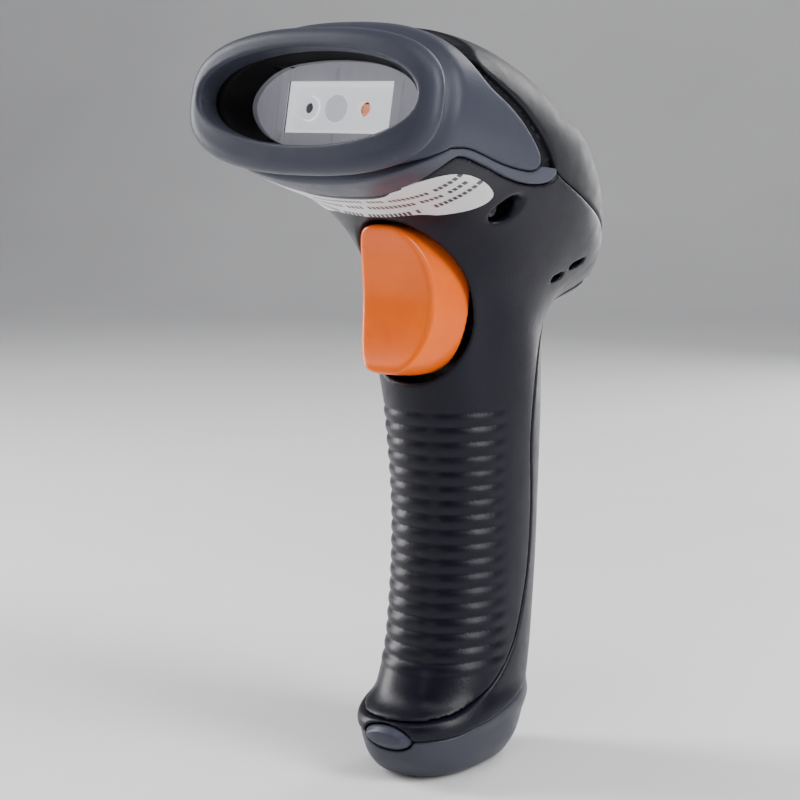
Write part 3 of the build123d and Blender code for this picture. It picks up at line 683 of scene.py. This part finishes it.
def label_material():
    """White film with neutral printed bars that run along its length."""
    n = Nodes("label_film")
    turned = n.add("ShaderNodeMapping")
    turned.inputs["Rotation"].default_value = (TILT, 0, 0)
    n.link(n.place, turned.inputs["Vector"])
    split = n.add("ShaderNodeSeparateXYZ")
    n.link(turned.outputs["Vector"], split.inputs[0])
    start = (NOSE_Y * math.cos(TILT) - NOSE_Z * math.sin(TILT) + 18.2) * MM
    print_mask = dashes(n, split.outputs[0], split.outputs[1], start, 0.0036, 3)
    paper = n.mix(n.ranged(n.noise(180, 3), 0, 1), (0.62, 0.60, 0.61), (0.70, 0.68, 0.69))
    n.link(n.mix(print_mask, paper, (0.05, 0.05, 0.06)), n.shader.inputs["Base Color"])
    n.link(n.ranged(n.noise(500, 3), 0.34, 0.46), n.shader.inputs["Roughness"])
    n.bump([(n.noise(2200, 2), 0.12, 0.00005)])
    return n.material


def glass_material():
    """Clear pane: thin reflective sheet with faint smears."""
    n = Nodes("window_glass")
    clear = n.add("ShaderNodeBsdfTransparent")
    blend = n.add("ShaderNodeMixShader")
    fresnel = n.add("ShaderNodeFresnel")
    fresnel.inputs["IOR"].default_value = 1.45
    n.link(n.ranged(n.noise(90, 4), 0.05, 0.12), n.shader.inputs["Roughness"])
    n.set(Base_Color=(0.9, 0.92, 0.95, 1), Metallic=0.0, Specular_IOR_Level=1.0)
    n.link(n.ranged(fresnel.outputs[0], 0.04, 0.5, 0.03, 1.0), blend.inputs[0])
    n.link(clear.outputs[0], blend.inputs[1])
    n.link(n.shader.outputs[0], blend.inputs[2])
    n.bump([(n.noise(300, 2), 0.02, 0.00003)])
    n.link(blend.outputs[0], n.tree.nodes["Material Output"].inputs["Surface"])
    return n.material


def board_material():
    """Solder mask with copper pours and tracks showing faintly."""
    n = Nodes("circuit_board")
    cells = n.add("ShaderNodeTexVoronoi", feature="DISTANCE_TO_EDGE", distance="MANHATTAN")
    cells.inputs["Scale"].default_value = 420
    n.link(n.place, cells.inputs["Vector"])
    track = n.ranged(cells.outputs["Distance"], 0, 1, 0.04, 0.1)
    n.link(n.mix(track, (0.010, 0.055, 0.024), (0.004, 0.022, 0.012)), n.shader.inputs["Base Color"])
    n.link(n.ranged(n.noise(400), 0.25, 0.4), n.shader.inputs["Roughness"])
    n.bump([(track, 0.2, 0.00004)])
    return n.material


NAVY = (0.0028, 0.0026, 0.0085)
MATERIALS = {
    "bumper_rubber": moulded("bumper_rubber", (0.043, 0.046, 0.066), 0.42, 0.36, 2200),
    "trim_grey": moulded("trim_grey", (0.058, 0.061, 0.084), 0.42, 0.28),
    "cover_plastic": moulded("cover_plastic", (0.0075, 0.0078, 0.0115), 0.48, 0.36, 2400),
    "shell_plastic": moulded("shell_plastic", NAVY, 0.37, 0.34, 2400),
    "foot_grey": moulded("foot_grey", (0.040, 0.041, 0.057), 0.42, 0.32),
    "button_grey": moulded("button_grey", (0.040, 0.042, 0.062), 0.34, 0.22),
    # near-black, darker than the other black parts: a black funnel whose colour also paints in the deep
    # shade inside it
    "mouth_black": moulded("mouth_black", (0.004, 0.004, 0.005), 0.7, 0.4),
    "gasket_rubber": moulded("gasket_rubber", (0.02, 0.02, 0.02), 0.7, 0.5, wear=0.0),
    # the mask and tray glow with painted light: emission brightens them though they are no lamps
    "mask_grey": moulded("mask_grey", (0.46, 0.46, 0.51), 0.35, 0.06, wear=0.0, painted_glow=0.24),
    "tray_white": moulded("tray_white", (0.86, 0.87, 0.90), 0.5, 0.15, wear=0.0, painted_glow=0.75),
    "engine_black": moulded("engine_black", (0.02, 0.02, 0.022), 0.45, 0.3, wear=0.0),
    "chip_black": moulded("chip_black", (0.03, 0.03, 0.035), 0.5, 0.4, 5000, wear=0.0),
    "switch_body": moulded("switch_body", (0.07, 0.07, 0.08), 0.45, 0.3, wear=0.0),
    "plunger_black": moulded("plunger_black", (0.02, 0.02, 0.02), 0.3, 0.15, wear=0.0),
    "socket_plastic": moulded("socket_plastic", (0.025, 0.025, 0.03), 0.35, 0.2, wear=0.0),
    # the diffuser and LED glow with painted light too: emission brightens them as they look in the window
    "diffuser": moulded("diffuser", (0.66, 0.67, 0.72), 0.3, 0.08, wear=0.0, painted_glow=0.55),
    "led_amber": moulded("led_amber", (0.9, 0.34, 0.18), 0.25, 0.1, wear=0.0, painted_glow=0.4),
    "flex_film": moulded("flex_film", (0.45, 0.20, 0.05), 0.3, 0.1, wear=0.0),
    "lens_glass": moulded("lens_glass", (0.02, 0.02, 0.035), 0.08, 0.02, coat=1.0),
    "bracket_steel": metal("bracket_steel", (0.55, 0.56, 0.58)),
    "screw_steel": metal("screw_steel", (0.40, 0.41, 0.43), 0.35),
    "pin_steel": metal("pin_steel", (0.10, 0.10, 0.11), 0.42),
    "spring_steel": metal("spring_steel", (0.50, 0.51, 0.53), 0.28),
    "contact_gold": metal("contact_gold", (0.83, 0.60, 0.25), 0.22),
    "circuit_board": board_material(),
    "trigger_orange": trigger_material(),
    "label_film": label_material(),
    "window_glass": glass_material(),
}

for entry in frame["record"]["subparts"]:
    node = frame["nodes"][entry["node"]]
    node.data.materials.clear()
    node.data.materials.append(MATERIALS[entry["material_slot"]])
    for polygon in node.data.polygons:
        polygon.material_index = 0


# ---------------------------------------------------------------- pieces
HEAD_BOX = (36, (-56, 2), (124, 172))
# Name, field, box of space and voxel in mm, material slot, body, CAD node
PIECES = [
    ("bumper", bumper_field, (*HEAD_BOX, 0.36), "bumper_rubber", "housing", "nose_bumper"),
    ("trim", trim_field, (*HEAD_BOX, 0.3), "trim_grey", "housing", "trim_band"),
    ("mouth", frame_field, (33, (-48, -30), (130, 164), 0.3), "mouth_black", "housing", "mouth_frame"),
    ("cover", cover_field, (35, (-42, 56), (112, 172), 0.42), "cover_plastic", "housing", "top_cover"),
    ("front", front_field, (34, (-38, 55), (9, 146), 0.42), "shell_plastic", "housing", "front_shell"),
    ("strap", strap_field, (20, (-24, 40), (6, 112), 0.42), "shell_plastic", "housing", "backstrap"),
    ("cap", cap_field, (17, (-24, 28), (-2, 22), 0.3), "foot_grey", "housing", "foot_cap"),
    ("film", label_field, (31, (-40, -12), (120, 138), 0.22), "label_film", "housing", "label"),
    ("lever", trigger_field, (14, (-25, -2), (88, 126), 0.25), "trigger_orange", "trigger", "trigger"),
    ("button", button_field, (8, (-24, 1), (6, 15), 0.22), "button_grey", "release_button",
     "release_button"),
]
for shell in PIECES:
    add_shell(*shell)


# Name, radius, turns, height, front and rear end, joint, its travel in mm, body, CAD node
SPRINGS = [
    ("lever_spring", 2.1, 6, SPRING_Z, SEAT_BACK, -3.6, "trigger_pull", TRIGGER_TRAVEL, "housing",
     "trigger_spring"),
    ("catch_spring", 2.6, 7, BUTTON_Z, BUTTON_BACK, 1.0, "button_press", BUTTON_TRAVEL, "housing",
     "button_spring"),
]


def add_spring(name, radius, turns, height, front, rear, joint, travel, body_name, node):
    """Compression spring along Y with flat ends."""
    count = turns * SPRING_STEPS
    vertices, faces = [], []
    for i in range(count + 1):
        turn = 2 * math.pi * i / SPRING_STEPS
        run = min(max((i / count - SPRING_FLAT) / (1 - 2 * SPRING_FLAT), 0), 1)
        y = front + SPRING_WIRE + run * (rear - front - 2 * SPRING_WIRE)
        for k in range(SPRING_SIDES):
            side = 2 * math.pi * k / SPRING_SIDES
            r = radius + SPRING_WIRE * math.cos(side)
            vertices.append((r * math.cos(turn) * MM, (y + SPRING_WIRE * math.sin(side)) * MM,
                             (height + r * math.sin(turn)) * MM))
    for i in range(count):
        for k in range(SPRING_SIDES):
            a, b = i * SPRING_SIDES + k, i * SPRING_SIDES + (k + 1) % SPRING_SIDES
            faces.append((a, a + SPRING_SIDES, b + SPRING_SIDES, b))
    faces.append(tuple(range(SPRING_SIDES)))
    faces.append(tuple(count * SPRING_SIDES + k for k in reversed(range(SPRING_SIDES))))
    mesh = bpy.data.meshes.new(name)
    mesh.from_pydata(vertices, [], faces)
    spring = add_piece(name, mesh, "spring_steel", body_name, node)
    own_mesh(spring)


for spring in SPRINGS:
    add_spring(*spring)


# ---------------------------------------------------------------- floor, light and world
def floor_material():
    n = Nodes("floor_pale")
    n.link(n.mix(n.ranged(n.noise(8, 4), 0, 1), (0.74, 0.74, 0.75), (0.78, 0.78, 0.79)),
           n.shader.inputs["Base Color"])
    n.set(Roughness=0.6)
    return n.material


def add_floor(size=4.0, height=1.6, bend=0.5, back=0.9):
    """A pale sweep: flat floor, then a curve up to a wall behind."""
    profile = [(-size / 2, 0.0)]
    profile += [(back + bend * math.sin(a), bend * (1 - math.cos(a)))
                for a in np.linspace(0, math.pi / 2, 13)]
    profile.append((back + bend, height))
    along = Vector((-math.sin(AZIMUTH), math.cos(AZIMUTH), 0))
    across = Vector((math.cos(AZIMUTH), math.sin(AZIMUTH), 0))
    vertices = []
    for d, z in profile:
        for side in (-size, size):
            vertices.append(along * d + across * side + Vector((0, 0, z)))
    faces = [(2 * i, 2 * i + 1, 2 * i + 3, 2 * i + 2) for i in range(len(profile) - 1)]
    mesh = bpy.data.meshes.new("floor")
    mesh.from_pydata([tuple(v) for v in vertices], [], faces)
    mesh.shade_smooth()
    mesh.materials.append(floor_material())
    floor = bpy.data.objects.new("floor", mesh)
    bpy.context.scene.collection.objects.link(floor)


def add_light(name, azimuth, elevation, distance, size, power):
    """A soft box aimed at the object."""
    light = bpy.data.lights.new(name, "AREA")
    light.shape = "RECTANGLE"
    light.size, light.size_y = size
    light.energy = power
    lamp = bpy.data.objects.new(name, light)
    bpy.context.scene.collection.objects.link(lamp)
    a, e = AZIMUTH + math.radians(azimuth), math.radians(elevation)
    away = Vector((math.sin(a) * math.cos(e), -math.cos(a) * math.cos(e), math.sin(e)))
    lamp.location = TARGET + distance * away
    lamp.rotation_euler = (-away).to_track_quat("-Z", "Y").to_euler()


def add_world(color, strength):
    world = bpy.data.worlds.new("studio")
    world.use_nodes = True
    background = world.node_tree.nodes["Background"]
    background.inputs["Color"].default_value = (*color, 1)
    background.inputs["Strength"].default_value = strength
    bpy.context.scene.world = world


# Name, turn from the camera and height in degrees, distance and size in metres, power in watts
LIGHTS = [
    ("key_right", 58, 30, 0.8, (0.28, 0.8), 9),
    ("rim_left", -112, 16, 0.7, (0.2, 0.8), 11),
    ("rim_right", 146, 14, 0.7, (0.16, 0.8), 3.5),
    ("top", 0, 72, 0.9, (0.6, 0.4), 3),
    ("fill_front", -34, 8, 1.1, (0.2, 0.7), 1.6),
]
add_floor()
for light in LIGHTS:
    add_light(*light)
add_world((0.75, 0.77, 0.80), 0.16)
